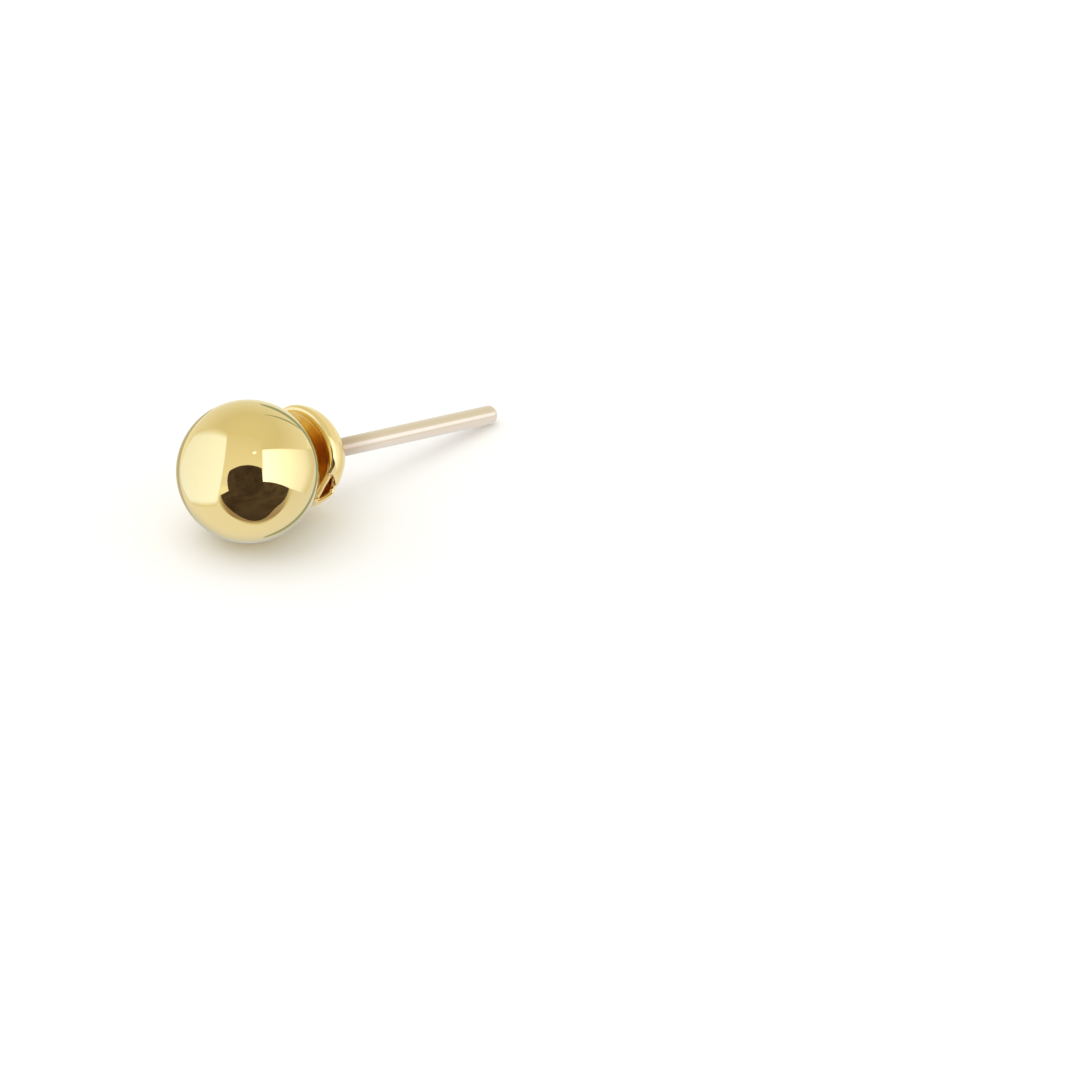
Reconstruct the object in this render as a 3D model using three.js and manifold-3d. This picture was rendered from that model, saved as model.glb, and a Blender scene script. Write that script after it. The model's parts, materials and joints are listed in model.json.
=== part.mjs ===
// Ball stud earring with its butterfly ear-nut, lying on a level surface as it
// comes to rest by itself: on the ball and on the end of the post.
// Millimetres, +Z up. The ball faces -Y and the post runs towards +Y.
// Inside the earring's own group the post is the Y axis and the ball's centre
// is the origin.

import * as THREE from 'three';
import * as BufferGeometryUtils from 'three/addons/utils/BufferGeometryUtils.js';
import Module from 'manifold-3d';

const wasm = await Module();
wasm.setup();

// ---- driving dimensions --------------------------------------------------

const BALL_R = 3.0; // polished ball, 6 mm
const POST_R = 0.4; // straight post, 0.8 mm wire
const POST_END = 14.7; // ball centre to the post's end
const TIP_ROUND = 0.28; // rounding of the post's end
const POST_SIDE = -0.06; // the post is soldered this much off the middle of
const POST_UP = 0.105; // the ball's back, sideways and up
const SOLDER_R = 0.55; // foot of the solder fillet on the ball
const SOLDER_TOP = 3.06; // where the fillet meets the post

const SIDES = 48; // facets round the ball and the post
const BALL_BAND = 6; // degrees of latitude in one band of facets
const TIP_STEPS = 4; // facets over the rounding of the post's end

const SHEET = 0.2; // thickness of the ear-nut's sheet
const HOLE_R = 0.5; // hole in its plate
const NUT_ROLL = -66.3; // degrees the ear-nut is turned about the post

// Middle surface of one half of the ear-nut, from the hole to the end of the
// wing. Each row is an arc across the strip: "out" is how far its middle stands
// from the post, "along" its place along the post, "edge" how far its two ends
// stand from the line through the post across the strip, "half" half of the
// strip's width there, "arc" how far round it bends, in degrees, and "dish" how
// much nearer the ball its ends are than its middle.
const WING = [
  // out, along, edge, half, arc, dish
  [0.0, 3.2, 0.0, 1.8, 84, 0.2],
  [0.6, 3.2, 0.21, 1.8, 84, 0.2],
  [1.25, 3.16, 0.44, 1.8, 84, 0.16],
  [1.74, 3.07, 0.61, 1.8, 84, 0.08],
  [1.99, 3.0, 0.7, 1.8, 84, 0.02], // crest of the fold
  [2.09, 3.06, 0.72, 1.83, 84, 0],
  [2.06, 3.25, 0.52, 1.93, 85, 0.04],
  [1.99, 3.5, 0.18, 2.02, 86, 0.1],
  [1.84, 3.76, 0.07, 1.93, 87, 0.27],
  [1.56, 4.03, 0.07, 1.75, 87, 0.34],
  [1.23, 4.24, 0.07, 1.55, 86, 0.35],
  [0.95, 4.33, 0.08, 1.44, 82, 0.25],
  [0.7, 4.23, 0.12, 1.38, 70, 0.12],
  [0.58, 4.02, 0.2, 1.32, 52, 0.03],
  [0.555, 3.82, 0.3, 1.25, 36, 0], // the pinch on the post
  [0.62, 3.62, 0.48, 1.16, 22, 0],
  [0.78, 3.5, 0.74, 1.04, 12, 0],
];
const WING_STEP = 0.17; // spacing of the rows along the strip
const WING_COLUMNS = 13; // points across the strip

const RAD = Math.PI / 180;

// ---- helpers -------------------------------------------------------------

// A closed geometry, with its shared vertices merged, as a solid to cut.
function solid(geometry) {
  const bare = geometry.clone();
  bare.deleteAttribute('normal');
  bare.deleteAttribute('uv');
  const merged = BufferGeometryUtils.mergeVertices(bare, 1e-5);
  return new wasm.Manifold(
    new wasm.Mesh({
      numProp: 3,
      vertProperties: new Float32Array(merged.attributes.position.array),
      triVerts: new Uint32Array(merged.index.array),
    })
  );
}

function geometryOf(manifold) {
  const mesh = manifold.getMesh();
  const geometry = new THREE.BufferGeometry();
  geometry.setAttribute(
    'position',
    new THREE.BufferAttribute(new Float32Array(mesh.vertProperties), 3)
  );
  geometry.setIndex(new THREE.BufferAttribute(new Uint32Array(mesh.triVerts), 1));
  geometry.computeVertexNormals();
  return geometry;
}

// ---- how it lies ---------------------------------------------------------

// Facets stand outside the true round by this much, so that the one that lies
// on the surface touches it where the round ball would.
const sideStretch = 1 / Math.cos((180 / SIDES) * RAD);
const bandStretch = 1 / Math.cos((BALL_BAND / 2) * RAD);

// Profile of the post's rounded end: [distance from the axis, along the post].
function tipProfile() {
  const rows = [];
  for (let i = 0; i <= TIP_STEPS; i++) {
    const a = (90 * i * RAD) / TIP_STEPS;
    rows.push([
      POST_R - TIP_ROUND + TIP_ROUND * Math.cos(a),
      POST_END - TIP_ROUND + TIP_ROUND * Math.sin(a),
    ]);
  }
  return rows;
}

// Slope of the post when both the ball and the post's end touch the surface.
function restSlope() {
  let low = 0;
  let high = 30 * RAD;
  for (let i = 0; i < 60; i++) {
    const slope = (low + high) / 2;
    const reach = Math.max(
      ...tipProfile().map(
        ([r, y]) => y * Math.sin(slope) + (r - POST_UP) * Math.cos(slope)
      )
    );
    if (reach > BALL_R) high = slope;
    else low = slope;
  }
  return (low + high) / 2;
}
const SLOPE = restSlope();

// ---- ball with its soldered post ----------------------------------------

// A round solid about the post's axis from its profile, with a flat side down.
function turned(points) {
  return new THREE.LatheGeometry(
    points.map(([r, y]) => new THREE.Vector2(r * sideStretch, y)),
    SIDES,
    (180 / SIDES) * RAD
  );
}

function ballStudGeometry() {
  // Bands of the ball from its front pole to its back pole, set so that the
  // middle of one of them is the ball's lowest line.
  const r = BALL_R * bandStretch;
  const ball = [[0, -r]];
  const first = SLOPE / RAD + BALL_BAND / 2;
  const below = Math.floor((first + 90 - 0.4 * BALL_BAND) / BALL_BAND);
  for (let lat = first - below * BALL_BAND; lat < 90 - 0.4 * BALL_BAND; lat += BALL_BAND) {
    ball.push([r * Math.cos(lat * RAD), r * Math.sin(lat * RAD)]);
  }
  ball.push([0, r]);
  // The post from inside the ball, with the solder's short concave fillet.
  const foot = Math.sqrt(BALL_R * BALL_R - SOLDER_R * SOLDER_R) - 0.03;
  const post = [[0, foot - 0.5], [SOLDER_R, foot - 0.5]];
  for (const f of [0, 0.35, 1]) {
    const fillet = SOLDER_R + (POST_R - SOLDER_R) * Math.sqrt(f * (2 - f));
    post.push([fillet, foot + (SOLDER_TOP - foot) * f]);
  }
  post.push(...tipProfile(), [0, POST_END]);
  const postGeometry = turned(post);
  postGeometry.translate(POST_SIDE, 0, POST_UP);
  return geometryOf(solid(turned(ball)).add(solid(postGeometry)));
}

// ---- butterfly ear-nut ---------------------------------------------------

const wingKnots = [0];
for (let i = 1; i < WING.length; i++) {
  const dx = WING[i][0] - WING[i - 1][0];
  const dy = WING[i][1] - WING[i - 1][1];
  wingKnots.push(wingKnots[i - 1] + Math.hypot(dx, dy));
}
const wingRows = new THREE.CubicInterpolant(wingKnots, WING.flat(), 6);
const wingLength = wingKnots[WING.length - 1];

// Point of the strip's middle surface: t along the strip from the hole,
// negative on the other half, and q across it from -1 to 1.
function stripPoint(t, q) {
  const [out, along, edge, half, arc, dish] = wingRows.evaluate(Math.abs(t));
  const a = arc * RAD * q;
  const bend = (1 - Math.cos(a)) / (1 - Math.cos(arc * RAD));
  const side = Math.sin(a) / Math.sin(arc * RAD);
  return new THREE.Vector3(
    Math.sign(t) * (out - (out - edge) * bend),
    along - dish * bend * bend,
    half * side
  );
}

function stripNormal(t, q) {
  const e = 1e-3;
  const t0 = Math.max(t - e, -wingLength);
  const t1 = Math.min(t + e, wingLength);
  const dt = stripPoint(t1, q).sub(stripPoint(t0, q));
  const dq = stripPoint(t, q + e).sub(stripPoint(t, q - e));
  return dt.cross(dq).normalize();
}

function earNutGeometry() {
  const half = Math.round(wingLength / WING_STEP);
  const rows = 2 * half + 1;
  const cols = WING_COLUMNS;
  const positions = [];
  for (const face of [0.5, -0.5]) {
    for (let i = 0; i < rows; i++) {
      const t = ((i - half) / half) * wingLength;
      for (let j = 0; j < cols; j++) {
        const q = (2 * j) / (cols - 1) - 1;
        const p = stripPoint(t, q).addScaledVector(stripNormal(t, q), face * SHEET);
        positions.push(p.x, p.y, p.z);
      }
    }
  }
  const index = [];
  const at = (side, i, j) => side * rows * cols + i * cols + j;
  const quad = (a, b, c, d) => index.push(a, b, c, a, c, d);
  for (let i = 0; i + 1 < rows; i++) {
    for (let j = 0; j + 1 < cols; j++) {
      quad(at(0, i, j), at(0, i + 1, j), at(0, i + 1, j + 1), at(0, i, j + 1));
      quad(at(1, i, j), at(1, i, j + 1), at(1, i + 1, j + 1), at(1, i + 1, j));
    }
    quad(at(0, i, 0), at(1, i, 0), at(1, i + 1, 0), at(0, i + 1, 0));
    const e = cols - 1;
    quad(at(0, i, e), at(0, i + 1, e), at(1, i + 1, e), at(1, i, e));
  }
  for (let j = 0; j + 1 < cols; j++) {
    quad(at(0, 0, j), at(0, 0, j + 1), at(1, 0, j + 1), at(1, 0, j));
    const e = rows - 1;
    quad(at(0, e, j), at(1, e, j), at(1, e, j + 1), at(0, e, j + 1));
  }
  const strip = new THREE.BufferGeometry();
  strip.setAttribute('position', new THREE.Float32BufferAttribute(positions, 3));
  strip.setIndex(index);
  const drill = new THREE.CylinderGeometry(HOLE_R, HOLE_R, 1.2, 32);
  drill.translate(0, WING[0][1], 0);
  return geometryOf(solid(strip).subtract(solid(drill)));
}

// ---- the earring ---------------------------------------------------------

const ballStud = new THREE.Mesh(
  ballStudGeometry(),
  new THREE.MeshStandardMaterial({ color: 0xe6c478, metalness: 1, roughness: 0.08 })
);
ballStud.name = 'ball_stud';

const earNut = new THREE.Mesh(
  earNutGeometry(),
  new THREE.MeshStandardMaterial({ color: 0xe0b45c, metalness: 1, roughness: 0.14 })
);
earNut.name = 'butterfly_clutch';
earNut.position.set(POST_SIDE, 0, POST_UP);
earNut.rotation.y = NUT_ROLL * RAD;

const earring = new THREE.Group();
earring.add(ballStud, earNut);
earring.rotation.x = -SLOPE;

// Stand it so that the middle of its box's underside is the origin.
const object = new THREE.Group();
object.add(earring);
object.updateMatrixWorld(true);
const box = new THREE.Box3().setFromObject(object, true);
earring.position.set(
  -(box.min.x + box.max.x) / 2,
  -(box.min.y + box.max.y) / 2,
  -box.min.z
);

export default object;
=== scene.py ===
import json
import math

import bpy
import bmesh
import numpy as np
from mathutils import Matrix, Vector


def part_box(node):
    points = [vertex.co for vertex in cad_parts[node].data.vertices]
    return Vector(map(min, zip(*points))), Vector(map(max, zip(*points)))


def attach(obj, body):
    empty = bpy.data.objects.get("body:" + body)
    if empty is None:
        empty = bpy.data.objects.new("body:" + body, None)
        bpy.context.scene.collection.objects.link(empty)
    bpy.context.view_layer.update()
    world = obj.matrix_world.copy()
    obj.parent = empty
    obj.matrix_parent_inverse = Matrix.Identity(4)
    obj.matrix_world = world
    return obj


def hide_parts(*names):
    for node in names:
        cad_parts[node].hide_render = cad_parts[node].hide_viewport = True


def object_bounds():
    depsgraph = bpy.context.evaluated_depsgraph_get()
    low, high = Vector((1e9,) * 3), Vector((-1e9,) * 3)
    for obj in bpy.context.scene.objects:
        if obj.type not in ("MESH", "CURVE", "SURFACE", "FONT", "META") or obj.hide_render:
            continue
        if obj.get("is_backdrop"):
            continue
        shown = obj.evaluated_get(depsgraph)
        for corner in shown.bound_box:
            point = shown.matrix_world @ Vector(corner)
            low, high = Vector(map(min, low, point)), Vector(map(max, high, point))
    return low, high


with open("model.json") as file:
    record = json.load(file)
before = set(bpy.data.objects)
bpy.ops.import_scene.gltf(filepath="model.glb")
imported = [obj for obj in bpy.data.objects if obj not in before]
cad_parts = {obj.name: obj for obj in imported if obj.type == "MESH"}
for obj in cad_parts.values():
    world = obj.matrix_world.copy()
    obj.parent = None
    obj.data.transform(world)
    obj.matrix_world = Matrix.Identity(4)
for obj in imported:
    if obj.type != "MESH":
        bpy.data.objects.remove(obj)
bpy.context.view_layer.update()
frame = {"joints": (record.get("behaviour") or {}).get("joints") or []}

MM = 0.001

# ---- the earring's measures, in millimetres, as in the frame -------------------

BALL_R = 3.0
POST_R = 0.4
POST_END = 14.7
TIP_ROUND = 0.28
POST_SIDE, POST_UP = -0.06, 0.105
SOLDER_R, SOLDER_TOP = 0.55, 3.06
SHEET = 0.2
HOLE_R = 0.5
NUT_ROLL = math.radians(-66.3)

# Middle surface of half of the ear-nut's strip, the same rows as the frame's:
# out, along, edge, half, arc, dish
WING = np.array([
    [0.0, 3.2, 0.0, 1.8, 84, 0.2],
    [0.6, 3.2, 0.21, 1.8, 84, 0.2],
    [1.25, 3.16, 0.44, 1.8, 84, 0.16],
    [1.74, 3.07, 0.61, 1.8, 84, 0.08],
    [1.99, 3.0, 0.7, 1.8, 84, 0.02],
    [2.09, 3.06, 0.72, 1.83, 84, 0],
    [2.06, 3.25, 0.52, 1.93, 85, 0.04],
    [1.99, 3.5, 0.18, 2.02, 86, 0.1],
    [1.84, 3.76, 0.07, 1.93, 87, 0.27],
    [1.56, 4.03, 0.07, 1.75, 87, 0.34],
    [1.23, 4.24, 0.07, 1.55, 86, 0.35],
    [0.95, 4.33, 0.08, 1.44, 82, 0.25],
    [0.7, 4.23, 0.12, 1.38, 70, 0.12],
    [0.58, 4.02, 0.2, 1.32, 52, 0.03],
    [0.555, 3.82, 0.3, 1.25, 36, 0],
    [0.62, 3.62, 0.48, 1.16, 22, 0],
    [0.78, 3.5, 0.74, 1.04, 12, 0],
])

# ---- the earring's own axes in the frame ---------------------------------------

AXIS = np.array(frame["joints"][0]["axis"], float)
AXIS /= np.linalg.norm(AXIS)
SIDE = np.array([1.0, 0.0, 0.0])
UPPER = np.cross(SIDE, AXIS)
stud_low, stud_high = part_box("ball_stud")
BALL = np.array([0.0, stud_low.y / MM + BALL_R, BALL_R])


def place(points):
    """Points (side, along the post, up) of the earring's own axes, to the frame in metres."""
    p = np.asarray(points, float)
    return (BALL + p[..., :1] * SIDE + p[..., 1:2] * AXIS + p[..., 2:3] * UPPER) * MM


def on_post(points):
    """The same, for points measured from the post's own centreline."""
    return place(np.asarray(points, float) + [POST_SIDE, 0.0, POST_UP])


# ---- meshes -----------------------------------------------------------------------


def mesh_object(name, verts, faces, smooth=True):
    me = bpy.data.meshes.new(name)
    me.from_pydata([tuple(v) for v in verts], [], [tuple(f) for f in faces])
    me.validate()
    me.update()
    for p in me.polygons:
        p.use_smooth = smooth
    ob = bpy.data.objects.new(name, me)
    bpy.context.scene.collection.objects.link(ob)
    return ob


def outward(ob):
    bm = bmesh.new()
    bm.from_mesh(ob.data)
    bmesh.ops.recalc_face_normals(bm, faces=bm.faces)
    if bm.calc_volume(signed=True) < 0:
        bmesh.ops.reverse_faces(bm, faces=bm.faces)
    bm.to_mesh(ob.data)
    bm.free()
    ob.data.update()


def sphere_mesh(n):
    """Sphere of six square grids, without poles, as unit vertices and quads."""
    index, verts, faces = {}, [], []
    a = np.tan(np.linspace(-math.pi / 4, math.pi / 4, n + 1))

    def vertex(p):
        p = p / np.linalg.norm(p)
        key = tuple(np.round(p, 6))
        if key not in index:
            index[key] = len(verts)
            verts.append(p)
        return index[key]

    for k in range(3):
        for s in (-1.0, 1.0):
            for i in range(n):
                for j in range(n):
                    quad = []
                    for di, dj in ((0, 0), (1, 0), (1, 1), (0, 1)):
                        p = np.zeros(3)
                        p[k], p[(k + 1) % 3], p[(k + 2) % 3] = s, a[i + di], a[j + dj]
                        quad.append(vertex(p))
                    faces.append(quad if s > 0 else quad[::-1])
    return np.array(verts), faces


def turned_mesh(profile, sides):
    """Round solid about the post's axis; profile rows are (radius, along), the first and last on the axis."""
    verts = [(0.0, profile[0][1], 0.0)]
    for r, y in profile[1:-1]:
        for k in range(sides):
            a = 2 * math.pi * k / sides
            verts.append((r * math.sin(a), y, r * math.cos(a)))
    verts.append((0.0, profile[-1][1], 0.0))
    faces, rings = [], len(profile) - 2
    for k in range(sides):
        m = (k + 1) % sides
        faces.append((0, 1 + k, 1 + m))
        for i in range(rings - 1):
            a, b = 1 + i * sides, 1 + (i + 1) * sides
            faces.append((a + k, b + k, b + m, a + m))
        last = 1 + (rings - 1) * sides
        faces.append((last + k, len(verts) - 1, last + m))
    return np.array(verts), faces


# ---- ball ----------------------------------------------------------------------------

verts, faces = sphere_mesh(72)
ball = mesh_object("ball", place(verts * BALL_R), faces)
outward(ball)

# ---- post with its solder ------------------------------------------------------------

foot = math.sqrt(BALL_R**2 - SOLDER_R**2) - 0.03
profile = [(0.0, foot - 0.4), (SOLDER_R - 0.02, foot - 0.4), (SOLDER_R, foot - 0.36)]
for f in np.linspace(0, 1, 13):
    f = f**1.6
    profile.append((SOLDER_R + (POST_R - SOLDER_R) * math.sqrt(f * (2 - f)), foot + (SOLDER_TOP - foot) * f))
profile += [(POST_R, y) for y in np.linspace(SOLDER_TOP + 0.3, POST_END - TIP_ROUND, 60)]
for a in np.radians(np.linspace(6, 84, 14)):
    profile.append((POST_R - TIP_ROUND + TIP_ROUND * math.cos(a), POST_END - TIP_ROUND + TIP_ROUND * math.sin(a)))
profile += [(POST_R - TIP_ROUND, POST_END), (0.0, POST_END)]
verts, faces = turned_mesh(profile, 96)
post = mesh_object("post", on_post(verts), faces)
outward(post)
post.data.set_sharp_from_angle(angle=math.radians(50))

# ---- butterfly ear-nut -----------------------------------------------------------------


class Rows:
    """Cubic curve through table rows, with the slopes of a cubic interpolant on uneven knots."""

    def __init__(self, knots, values):
        self.t, self.v = np.array(knots, float), np.array(values, float)

    def __call__(self, x):
        t, v, n = self.t, self.v, len(self.t)
        x = np.asarray(x, float)
        shape = x.shape
        x = x.ravel()
        i1 = np.clip(np.searchsorted(t, x, side="right"), 1, n - 1)
        i0 = i1 - 1
        t0, t1 = t[i0], t[i1]
        before, after = i0 > 0, i1 < n - 1
        ip, inx = np.where(before, i0 - 1, i1), np.where(after, i1 + 1, i0)
        tp = np.where(before, t[np.maximum(i0 - 1, 0)], t1)
        tn = np.where(after, t[np.minimum(i1 + 1, n - 1)], t0)
        h = (t1 - t0) / 2
        wp, wn = h / (t0 - tp), h / (tn - t1)
        p = (x - t0) / (t1 - t0)
        p2, p3 = p * p, p * p * p
        out = (
            (-wp * p3 + 2 * wp * p2 - wp * p)[:, None] * v[ip]
            + ((1 + wp) * p3 + (-1.5 - 2 * wp) * p2 + (-0.5 + wp) * p + 1)[:, None] * v[i0]
            + ((-1 - wn) * p3 + (1.5 + wn) * p2 + 0.5 * p)[:, None] * v[i1]
            + (wn * p3 - wn * p2)[:, None] * v[inx]
        )
        return out.reshape(shape + (v.shape[1],))


knots = np.r_[0, np.cumsum(np.hypot(*np.diff(WING[:, :2], axis=0).T))]
LENGTH = knots[-1]
wing_rows = Rows(knots, WING)


def strip_point(t, q):
    t, q = np.broadcast_arrays(np.asarray(t, float), np.asarray(q, float))
    row = wing_rows(np.abs(t))
    out, along, edge, half, arc, dish = [row[..., i] for i in range(6)]
    full = np.radians(arc)
    a = full * q
    bend = (1 - np.cos(a)) / (1 - np.cos(full))
    side = np.sin(a) / np.sin(full)
    return np.stack([np.sign(t) * (out - (out - edge) * bend), along - dish * bend**2, half * side], -1)


def strip_normal(t, q, e=2e-3):
    dt = strip_point(np.minimum(t + e, LENGTH), q) - strip_point(np.maximum(t - e, -LENGTH), q)
    dq = strip_point(t, q + e) - strip_point(t, q - e)
    n = np.cross(dt, dq)
    return n / np.linalg.norm(n, axis=-1, keepdims=True)


def edge_samples(full, step, border, rings):
    """From -full to full, evenly inside and closer together within border of each end."""
    near = border * (1 - np.cos(np.linspace(0, math.pi / 2, rings + 1)))
    inner = np.linspace(-full + border, full - border, max(2, int(round(2 * (full - border) / step)) + 1))
    return np.r_[-full + near[:-1], inner, (full - near[:-1])[::-1]]


EDGE = 0.095  # rounding of the sheet's stamped edge
ts = edge_samples(LENGTH, 0.045, EDGE, 6)
qs = edge_samples(1.0, 0.028, 0.055, 6)
T, Q = np.meshgrid(ts, qs, indexing="ij")
mid = strip_point(T, Q)
across = np.linalg.norm(strip_point(T, Q * 0.999) - strip_point(T, Q * 0.999 - 0.001), axis=-1) / 0.001
near_edge = np.minimum((1 - np.abs(Q)) * across, (LENGTH - np.abs(T)))
depth = np.clip(near_edge / EDGE, 0, 1)
thick = SHEET / 2 * np.sqrt(np.clip(1 - (1 - depth) ** 2, 0, 1))
normal = strip_normal(T, Q)
nt, nq = T.shape
top = mid + normal * thick[..., None]
low = mid - normal * thick[..., None]
border = np.zeros((nt, nq), bool)
border[[0, -1], :] = border[:, [0, -1]] = True
ids_top = np.arange(nt * nq).reshape(nt, nq)
ids_low = ids_top.copy()
ids_low[~border] = nt * nq + np.arange((~border).sum())
verts = np.concatenate([top.reshape(-1, 3), low[~border]])
faces = []
for i in range(nt - 1):
    for j in range(nq - 1):
        faces.append((ids_top[i, j], ids_top[i + 1, j], ids_top[i + 1, j + 1], ids_top[i, j + 1]))
        faces.append((ids_low[i, j], ids_low[i, j + 1], ids_low[i + 1, j + 1], ids_low[i + 1, j]))
c, s = math.cos(NUT_ROLL), math.sin(NUT_ROLL)


def nut(points):
    """Turns the ear-nut about the post and puts it on it."""
    p = np.asarray(points, float)
    x, y, z = p[..., 0], p[..., 1], p[..., 2]
    return on_post(np.stack([c * x + s * z, y, -s * x + c * z], -1))


clutch = mesh_object("clutch", nut(verts), faces)
outward(clutch)

# Its hole, with a broken edge on both faces.
hole = [(0.0, 2.8), (HOLE_R + 0.16, 2.8), (HOLE_R + 0.16, 3.06), (HOLE_R + 0.06, 3.09), (HOLE_R + 0.015, 3.125), (HOLE_R, 3.16)]
hole += [(r, 6.4 - y) for r, y in hole[::-1]]
hole[-1] = (0.0, 3.45)
hole[-2] = (HOLE_R + 0.16, 3.45)
verts, faces = turned_mesh(hole, 96)
drill = mesh_object("drill", nut(verts), faces)
outward(drill)
cut = clutch.modifiers.new("hole", "BOOLEAN")
cut.operation, cut.solver, cut.object = "DIFFERENCE", "EXACT", drill
bpy.context.view_layer.update()
cut_mesh = bpy.data.meshes.new_from_object(clutch.evaluated_get(bpy.context.evaluated_depsgraph_get()))
clutch.modifiers.clear()
clutch.data = cut_mesh
bpy.data.objects.remove(drill)
for p in clutch.data.polygons:
    p.use_smooth = True
clutch.data.set_sharp_from_angle(angle=math.radians(38))

# ---- materials -------------------------------------------------------------------------


def material(name):
    m = bpy.data.materials.new(name)
    m.use_nodes = True
    m.node_tree.nodes.clear()
    return m, m.node_tree.nodes, m.node_tree.links


def add(nodes, kind, **values):
    n = nodes.new(kind)
    for key, value in values.items():
        if key in n.inputs:
            n.inputs[key].default_value = value
        else:
            setattr(n, key, value)
    return n


def metal(name, base, rough_low, rough_high, grain, bump, stretch=(1, 1, 1), scratches=0.0, satin=None, painted_gold_reflection=None, rim=(0.86, 0.88, 0.84)):
    """Polished metal: a base colour with slow drifts, roughness in soft clouds, fine polishing lines and a faint
    waviness; optionally a painted reflection, a browner tone over one stretch along the post.
    """
    m, nodes, links = material(name)
    out = add(nodes, "ShaderNodeOutputMaterial")
    b = add(nodes, "ShaderNodeBsdfPrincipled")
    b.inputs["Metallic"].default_value = 1.0
    b.inputs["Specular Tint"].default_value = (*rim, 1)
    links.new(b.outputs["BSDF"], out.inputs["Surface"])
    where = add(nodes, "ShaderNodeTexCoord")
    size = add(nodes, "ShaderNodeMapping")
    size.inputs["Scale"].default_value = tuple(1000.0 * k for k in stretch)
    links.new(where.outputs["Object"], size.inputs["Vector"])
    # colour drift
    drift = add(nodes, "ShaderNodeTexNoise", Scale=0.35, Detail=3.0, Roughness=0.5)
    links.new(size.outputs["Vector"], drift.inputs["Vector"])
    tint = add(nodes, "ShaderNodeValToRGB")
    tint.color_ramp.elements[0].position, tint.color_ramp.elements[1].position = 0.3, 0.7
    tint.color_ramp.elements[0].color = (*[k * 0.965 for k in base], 1)
    tint.color_ramp.elements[1].color = (*base, 1)
    links.new(drift.outputs["Fac"], tint.inputs["Fac"])
    colour = tint.outputs["Color"]
    if painted_gold_reflection:
        # painted reflection: the post is browner and darker near the ball and ear-nut, standing in for their gold
        # mirrored in it, fading from one place along the post to another
        along = add(nodes, "ShaderNodeVectorMath", operation="DOT_PRODUCT")
        links.new(where.outputs["Object"], along.inputs[0])
        along.inputs[1].default_value = tuple(AXIS)
        origin = BALL @ AXIS
        fade = add(nodes, "ShaderNodeMapRange", interpolation_type="SMOOTHSTEP")
        fade.inputs["From Min"].default_value, fade.inputs["From Max"].default_value = (origin + painted_gold_reflection[0]) * MM, (origin + painted_gold_reflection[1]) * MM
        fade.inputs["To Min"].default_value, fade.inputs["To Max"].default_value = 1.0, 0.0
        links.new(along.outputs["Value"], fade.inputs["Value"])
        blend = add(nodes, "ShaderNodeMix", data_type="RGBA")
        links.new(fade.outputs["Result"], blend.inputs[0])
        links.new(colour, blend.inputs[6])
        blend.inputs[7].default_value = (*painted_gold_reflection[2], 1)
        links.new(blend.outputs[2], b.inputs["Base Color"])
    else:
        links.new(colour, b.inputs["Base Color"])
    # roughness clouds and hairlines
    cloud = add(nodes, "ShaderNodeTexNoise", Scale=1.1, Detail=5.0, Roughness=0.62)
    links.new(size.outputs["Vector"], cloud.inputs["Vector"])
    lines = add(nodes, "ShaderNodeTexNoise", Scale=grain, Detail=4.0, Roughness=0.7)
    links.new(size.outputs["Vector"], lines.inputs["Vector"])
    both = add(nodes, "ShaderNodeMath", operation="MULTIPLY_ADD")
    both.inputs[1].default_value = 0.45
    links.new(lines.outputs["Fac"], both.inputs[0])
    links.new(cloud.outputs["Fac"], both.inputs[2])
    spread = add(nodes, "ShaderNodeMapRange")
    spread.inputs["From Min"].default_value, spread.inputs["From Max"].default_value = 0.5, 0.95
    spread.inputs["To Min"].default_value, spread.inputs["To Max"].default_value = rough_low, rough_high
    links.new(both.outputs["Value"], spread.inputs["Value"])
    rough = spread.outputs["Result"]
    if satin:
        # the face turned to the ball keeps the stamping's satin finish
        facing = add(nodes, "ShaderNodeVectorMath", operation="DOT_PRODUCT")
        links.new(where.outputs["Normal"], facing.inputs[0])
        facing.inputs[1].default_value = tuple(-AXIS)
        mask = add(nodes, "ShaderNodeMapRange", interpolation_type="SMOOTHSTEP")
        mask.inputs["From Min"].default_value, mask.inputs["From Max"].default_value = 0.55, 0.9
        mask.inputs["To Min"].default_value, mask.inputs["To Max"].default_value = 0.0, satin - rough_low
        links.new(facing.outputs["Value"], mask.inputs["Value"])
        more = add(nodes, "ShaderNodeMath", operation="ADD")
        links.new(rough, more.inputs[0])
        links.new(mask.outputs["Result"], more.inputs[1])
        rough = more.outputs["Value"]
    links.new(rough, b.inputs["Roughness"])
    # surface: slow waviness from polishing and the fine lines
    wave = add(nodes, "ShaderNodeTexNoise", Scale=0.9, Detail=2.0, Roughness=0.4)
    links.new(size.outputs["Vector"], wave.inputs["Vector"])
    first = add(nodes, "ShaderNodeBump", Strength=bump)
    first.inputs["Distance"].default_value = 0.00002
    links.new(wave.outputs["Fac"], first.inputs["Height"])
    second = add(nodes, "ShaderNodeBump", Strength=scratches)
    second.inputs["Distance"].default_value = 0.000004
    links.new(lines.outputs["Fac"], second.inputs["Height"])
    links.new(first.outputs["Normal"], second.inputs["Normal"])
    links.new(second.outputs["Normal"], b.inputs["Normal"])
    return m


GOLD = (0.865, 0.685, 0.295)
CLUTCH_GOLD = (0.905, 0.7, 0.31)
PALE = (0.85, 0.73, 0.555)

ball.data.materials.append(metal("ball gold", GOLD, 0.02, 0.06, 9.0, 0.10, scratches=0.05))
clutch.data.materials.append(metal("ear-nut gold", CLUTCH_GOLD, 0.06, 0.13, 14.0, 0.16, scratches=0.12, satin=0.19, rim=(0.93, 0.92, 0.82)))
# The post wire carries a painted reflection of the gold ball and ear-nut, a browner tone near them.
post.data.materials.append(metal("post wire", PALE, 0.14, 0.27, 10.0, 0.1, stretch=(1, 0.06, 1), scratches=0.3, painted_gold_reflection=(4.6, 8.0, (0.54, 0.41, 0.27))))

# ---- what each piece stands for ----------------------------------------------------------

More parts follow.
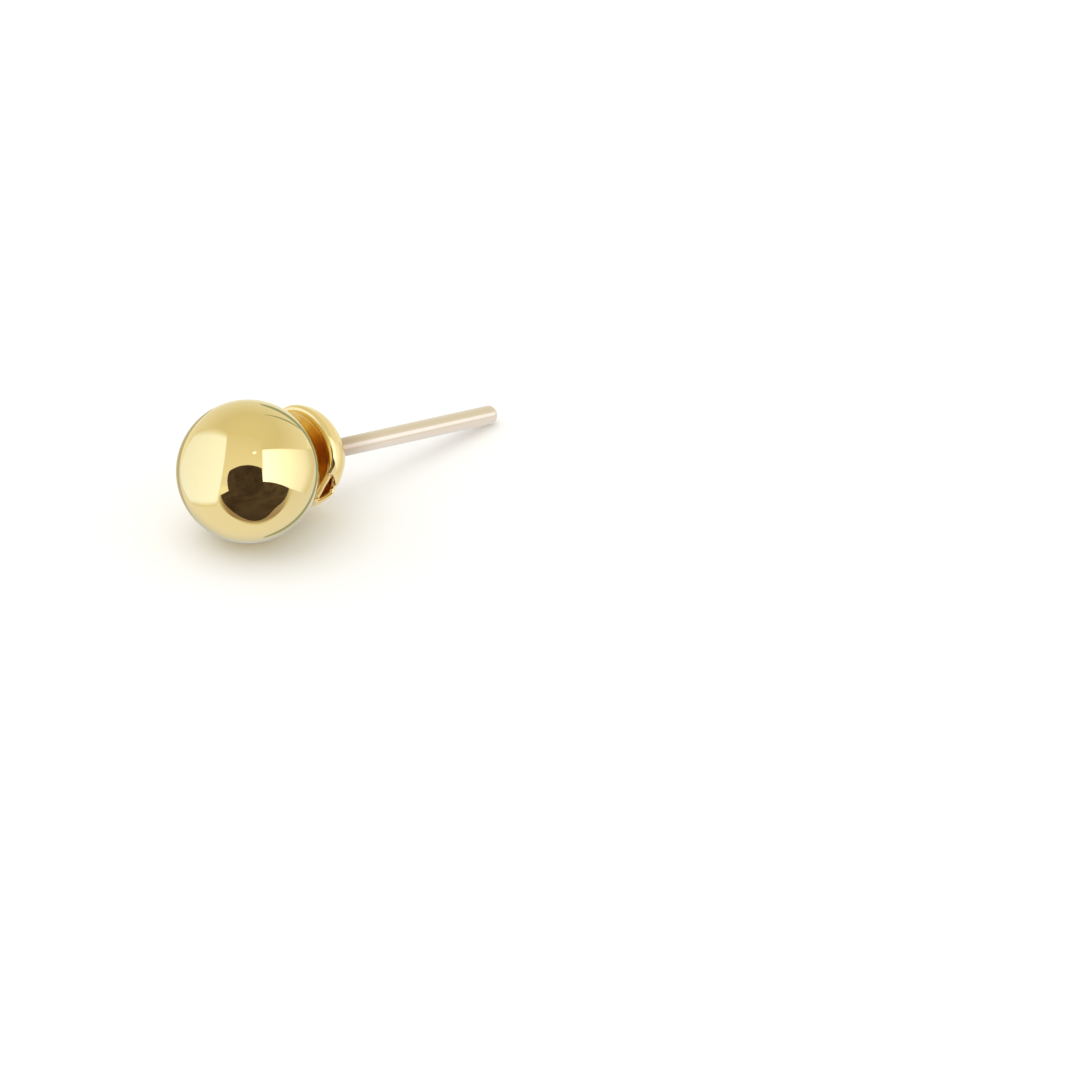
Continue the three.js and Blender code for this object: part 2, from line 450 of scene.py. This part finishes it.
for piece, node, body, finish in (
    (ball, "ball_stud", "stud", "ball_gold"),
    (post, "ball_stud", "stud", "post_pale"),
    (clutch, "butterfly_clutch", "clutch", "clutch_gold"),
):
    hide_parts(node)
    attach(piece, body)

# ---- camera --------------------------------------------------------------------------------

LENS, SENSOR, PIXELS, PER_MM = 500.0, 36.0, 1080, 24.0
AZ, EL = math.radians(45.044), math.radians(28.038)
BACK = np.array([math.sin(AZ) * math.cos(EL), -math.cos(AZ) * math.cos(EL), math.sin(EL)])
RIGHT = np.array([math.cos(AZ), math.sin(AZ), 0.0])
TOP = np.cross(BACK, RIGHT)
far = LENS / SENSOR * PIXELS / PER_MM
spot = (BALL + BACK * far + RIGHT * (540 - 247.8) / PER_MM - TOP * (540 - 471.2) / PER_MM) * MM
lens = bpy.data.cameras.new("camera")
lens.lens, lens.sensor_width = LENS, SENSOR
lens.clip_start, lens.clip_end = 0.01, 10.0
camera = bpy.data.objects.new("camera", lens)
camera.location = Vector(spot)
camera.rotation_mode = "QUATERNION"
camera.rotation_quaternion = Vector(-BACK).to_track_quat("-Z", "Y")
bpy.context.scene.collection.objects.link(camera)
bpy.context.scene.camera = camera

# ---- studio ----------------------------------------------------------------------------------

TOWARDS = spot / MM - BALL
TOWARDS /= np.linalg.norm(TOWARDS)
ACROSS = np.cross([0, 0, 1.0], TOWARDS)
ACROSS /= np.linalg.norm(ACROSS)
UPWARD = np.cross(TOWARDS, ACROSS)


def emitter(name, mottle=0.0):
    """Plain glow in the mesh's own "glow" colours, with an optional soft mottle."""
    m, nodes, links = material(name)
    out = add(nodes, "ShaderNodeOutputMaterial")
    e = add(nodes, "ShaderNodeEmission")
    glow = add(nodes, "ShaderNodeAttribute", attribute_name="glow")
    links.new(glow.outputs["Color"], e.inputs["Color"])
    e.inputs["Strength"].default_value = 1.0
    if mottle:
        where = add(nodes, "ShaderNodeTexCoord")
        cloud = add(nodes, "ShaderNodeTexNoise", Scale=260.0, Detail=3.0, Roughness=0.55)
        links.new(where.outputs["Object"], cloud.inputs["Vector"])
        spread = add(nodes, "ShaderNodeMapRange")
        spread.inputs["From Min"].default_value, spread.inputs["From Max"].default_value = 0.35, 0.65
        spread.inputs["To Min"].default_value, spread.inputs["To Max"].default_value = 1 - mottle, 1 + mottle
        links.new(cloud.outputs["Fac"], spread.inputs["Value"])
        links.new(spread.outputs["Result"], e.inputs["Strength"])
    links.new(e.outputs["Emission"], out.inputs["Surface"])
    return m


def mirrored(x, y, reach, share):
    """Point that the ball mirrors at (x, y), in ball radii right and up of its middle as the camera sees it: reach mm away, but no further than this share of the way to the floor."""
    n = x * ACROSS + y * UPWARD + math.sqrt(max(1e-4, 1 - x * x - y * y)) * TOWARDS
    d = 2 * (n @ TOWARDS) * n - TOWARDS
    start = BALL + BALL_R * n
    if d[2] < 0:
        reach = min(reach, share * start[2] / -d[2])
    return start + d * reach


def glow_sheet(name, verts, faces, light, mottle=0.0):
    """Studio card seen only in the metal."""
    ob = mesh_object(name, verts, faces)
    layer = ob.data.attributes.new("glow", "FLOAT_COLOR", "POINT")
    layer.data.foreach_set("color", np.ravel([(*c, 1.0) for c in light]))
    ob.data.materials.append(emitter(name, mottle))
    ob.visible_camera = ob.visible_diffuse = ob.visible_shadow = ob.visible_transmission = False
    ob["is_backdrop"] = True
    return ob


ROOM = np.array([0.86, 0.84, 0.74])  # what the ball mirrors beside the cards


def card(name, outline, reach, share, glow, steps=16, mottle=0.0, soft=(0, 0, 0, 0)):
    """Card from its four corners and four mid-edges in the ball's mirror image, from the lower left corner round, its glow colours at the corners, and how far the room's tone runs in from its lower, right, upper and left edge."""
    p, glow = np.array(outline, float), np.array(glow, float)
    verts, faces, light = [], [], []
    corner = [(-1, -1), (1, -1), (1, 1), (-1, 1)]
    for i in range(steps + 1):
        for j in range(steps + 1):
            u, v = 2 * i / steps - 1, 2 * j / steps - 1
            w = [(1 + u * a) * (1 + v * b) * (u * a + v * b - 1) / 4 for a, b in corner]
            w += [(1 - u * u) * (1 - v) / 2, (1 + u) * (1 - v * v) / 2, (1 - u * u) * (1 + v) / 2, (1 - u) * (1 - v * v) / 2]
            x, y = sum(k * q for k, q in zip(w, p))
            verts.append(mirrored(x, y, reach, share) * MM)
            tone = sum((1 + u * a) * (1 + v * b) / 4 * g for (a, b), g in zip(corner, glow))
            for run, gap in zip(soft, (1 + v, 1 - u, 1 - v, 1 + u)):
                if run:
                    f = min(1.0, gap / run)
                    tone = ROOM + (tone - ROOM) * f * f * (3 - 2 * f)
            light.append(tone)
    for i in range(steps):
        for j in range(steps):
            a = i * (steps + 1) + j
            faces.append((a, a + steps + 1, a + steps + 2, a + 1))
    return glow_sheet(name, verts, faces, light, mottle)


def crescent(name, start, end, inner, outer, reach, glow, body=(0.5, 0.9, 1, 0.8, 0.4), steps=64):
    """Narrow card along the ball's edge in its mirror image, between two angles round it, tapering at both ends; its inner and outer radii are given at the start, the middle and the end, its distance beside the ear-nut and elsewhere."""
    verts, faces, light = [], [], []
    for i in range(steps + 1):
        f = i / steps
        a = math.radians(start + (end - start) * f)
        weights = ((1 - f) * (1 - 2 * f), 4 * f * (1 - f), f * (2 * f - 1))
        near = sum(w * r for w, r in zip(weights, inner))
        rim = sum(w * r for w, r in zip(weights, outer))
        wide = math.sin(math.pi * f) ** 0.5
        away = min(1.0, max(0.0, (abs(math.degrees(a)) - 18) / 30))
        gap = reach[0] + (reach[1] - reach[0]) * away * away
        for j in range(5):
            r = rim - (rim - near) * wide * (1 - j / 4)
            verts.append(mirrored(r * math.cos(a), r * math.sin(a), gap, 0.9) * MM)
            light.append(ROOM + (np.array(glow) - ROOM) * body[j])
    for i in range(steps):
        for j in range(4):
            a = i * 5 + j
            faces.append((a, a + 5, a + 6, a + 1))
    return glow_sheet(name, verts, faces, light)


card(
    "soft_left",
    [(-0.77, -0.45), (-0.44, -0.47), (-0.275, 0.52), (-0.68, 0.57), (-0.6, -0.49), (-0.33, 0.04), (-0.47, 0.6), (-0.93, 0.04)],
    90, 0.97, [(1.14, 1.3, 1.8), (1.25, 1.42, 1.95), (1.2, 1.35, 1.8), (1.08, 1.2, 1.55)],
    steps=32, soft=(0.16, 0.05, 0.2, 0.0),
)
card(
    "soft_right",
    [(0.2, -0.15), (0.8, -0.33), (0.88, 0.3), (0.2, 0.3), (0.48, -0.21), (0.92, 0.0), (0.5, 0.31), (0.2, 0.07)],
    90, 0.96, [(2.0, 2.15, 2.6), (1.0, 1.06, 1.3), (0.96, 1.0, 1.1), (1.9, 2.05, 2.4)],
    steps=32, soft=(0.0, 0.3, 0.08, 0.03),
)
card(
    "warm_between",
    [(-0.36, -0.1), (0.2, 0.0), (0.2, 0.4), (-0.27, 0.5), (-0.1, 0.0), (0.2, 0.15), (-0.03, 0.48), (-0.33, 0.2)],
    100, 0.98, [(1.0, 0.98, 0.92), (1.05, 1.03, 0.97), (0.86, 0.84, 0.74), (0.86, 0.84, 0.74)],
    steps=32, soft=(0.0, 0.0, 0.5, 0.0),
)
card(
    "brown_low",
    [(-0.24, -0.62), (0.45, -0.56), (0.62, -0.26), (-0.4, -0.33), (0.13, -0.745), (0.56, -0.43), (0.12, -0.2), (-0.38, -0.48)],
    17, 0.92, [(0.36, 0.27, 0.2), (0.4, 0.31, 0.26), (0.62, 0.55, 0.5), (0.36, 0.27, 0.2)],
    steps=32, soft=(0.2, 0.14, 0.0, 0.1),
)
card(
    "dark_low",
    [(-0.2, -0.57), (0.37, -0.51), (0.57, -0.24), (-0.375, -0.33), (0.12, -0.69), (0.5, -0.4), (0.12, -0.15), (-0.33, -0.44)],
    15.5, 0.87, [(0.055, 0.04, 0.035), (0.07, 0.05, 0.045), (0.1, 0.075, 0.06), (0.075, 0.055, 0.045)], mottle=0.28,
)
card(
    "dark_mid",
    [(-0.26, -0.3), (0.22, -0.24), (0.195, 0.04), (-0.25, 0.01), (0.0, -0.34), (0.205, -0.09), (-0.03, 0.085), (-0.285, -0.12)],
    15, 0.85, [(0.07, 0.05, 0.04), (0.06, 0.045, 0.04), (0.055, 0.04, 0.035), (0.07, 0.05, 0.045)], mottle=0.28,
)
card("spark", [(0.075, 0.24), (0.115, 0.245), (0.12, 0.262), (0.08, 0.265), (0.095, 0.238), (0.12, 0.255), (0.1, 0.27), (0.07, 0.25)], 60, 0.97, [(2.2, 2.2, 2.4)] * 4, steps=4)
SAGE = (0.34, 0.425, 0.39)
crescent("sage_edge", -78, 80, (0.87, 0.945, 0.87), (0.95, 0.974, 0.95), (0.9, 1.1), SAGE)
crescent("sage_line", 74, 36, (0.8, 0.862, 0.925), (0.815, 0.884, 0.945), (1.0, 1.2), SAGE)
crescent("flag_left", 118, 226, (0.962, 0.95, 0.962), (0.998, 0.998, 0.998), (1.3, 1.3), (0.62, 0.57, 0.48), body=(0.5, 1, 0.9, 0.5, 0.1))

# White card that lies round the earring's foot and shows in the metal's underside only.
verts, light = [(0, 0, 0.00002)], [(0.95, 0.97, 1.1)]
for i in range(48):
    a = 2 * math.pi * i / 48
    side = math.cos(a - math.radians(15))
    verts.append((0.014 * math.cos(a), 0.002 + 0.017 * math.sin(a), 0.00002))
    light.append(tuple(v * (0.97 - 0.1 * side) for v in (0.97, 0.98, 1.06)))
glow_sheet("foot_card", verts, [(0, 1 + i, 1 + (i + 1) % 48) for i in range(48)], light)

# Soft shade on that card about the ball's foot.
verts, light, faces = [], [], []
for i in range(13):
    for k in range(40):
        f, a = i / 12, 2 * math.pi * k / 40
        u, v = 4.6 * f * math.cos(a), 0.7 + 3.1 * f * math.sin(a)
        verts.append(((BALL[0] + (u - v) * 0.7071) * MM, (BALL[1] + (u + v) * 0.7071) * MM, 0.00003))
        shade = 1 - 0.55 * (1 - f * f) ** 2
        light.append((0.94 * shade, 0.955 * shade, 1.08 * shade))
        if i:
            faces.append(((i - 1) * 40 + k, i * 40 + k, i * 40 + (k + 1) % 40, (i - 1) * 40 + (k + 1) % 40))
glow_sheet("foot_shade", verts, faces, light)

floor_m, nodes, links = material("floor")
out = add(nodes, "ShaderNodeOutputMaterial")
b = add(nodes, "ShaderNodeBsdfPrincipled")
b.inputs["Base Color"].default_value = (0.9, 0.9, 0.9, 1)
b.inputs["Roughness"].default_value = 0.9
b.inputs["Specular IOR Level"].default_value = 0.1
links.new(b.outputs["BSDF"], out.inputs["Surface"])
floor = mesh_object("floor", [(-2, -2, 0), (2, -2, 0), (2, 2, 0), (-2, 2, 0)], [(0, 1, 2, 3)])
floor.data.materials.append(floor_m)
floor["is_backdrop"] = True


def daylight(name, azimuth, elevation, strength, spread, colour=(1, 1, 1)):
    """Even light from one side of the sky, spread over an angle, unseen in the metal."""
    data = bpy.data.lights.new(name, "SUN")
    data.energy, data.color, data.angle = strength, colour, math.radians(spread)
    a, e = math.radians(azimuth), math.radians(elevation)
    ob = bpy.data.objects.new(name, data)
    ob.rotation_mode = "QUATERNION"
    ob.rotation_quaternion = Vector((math.cos(a) * math.cos(e), math.sin(a) * math.cos(e), math.sin(e))).to_track_quat("Z", "Y")
    ob.visible_glossy = False
    bpy.context.scene.collection.objects.link(ob)
    return ob


daylight("key", 200, 58, 0.8, 80, (0.96, 0.98, 1.1))
daylight("fill", -40, 70, 0.6, 110, (0.96, 0.98, 1.1))

world = bpy.data.worlds.new("studio")
bpy.context.scene.world = world
world.use_nodes = True
nodes, links = world.node_tree.nodes, world.node_tree.links
nodes.clear()
out = add(nodes, "ShaderNodeOutputWorld")
sky = add(nodes, "ShaderNodeBackground")
where = add(nodes, "ShaderNodeTexCoord")
split = add(nodes, "ShaderNodeSeparateXYZ")
ramp = add(nodes, "ShaderNodeValToRGB")
links.new(where.outputs["Generated"], split.inputs["Vector"])
links.new(split.outputs["Z"], ramp.inputs["Fac"])
stops = ramp.color_ramp.elements
stops[0].position, stops[0].color = 0.0, (1.0, 1.0, 0.995, 1)
stops[1].position, stops[1].color = 0.3, (0.93, 0.925, 0.9, 1)
for position, colour in ((0.72, (0.8, 0.78, 0.66)), (1.0, (0.84, 0.81, 0.66))):
    stops.new(position).color = (*colour, 1)
links.new(ramp.outputs["Color"], sky.inputs["Color"])
sky.inputs["Strength"].default_value = 1.0
links.new(sky.outputs["Background"], out.inputs["Surface"])

view = bpy.context.scene.view_settings
view.view_transform, view.look, view.exposure, view.gamma = "Standard", "None", 0.0, 1.0
bpy.context.scene.cycles.max_bounces = 16
bpy.context.scene.cycles.glossy_bounces = 12

# ---- bounds of the shown object -----------------------------------------------------------------

low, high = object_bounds()
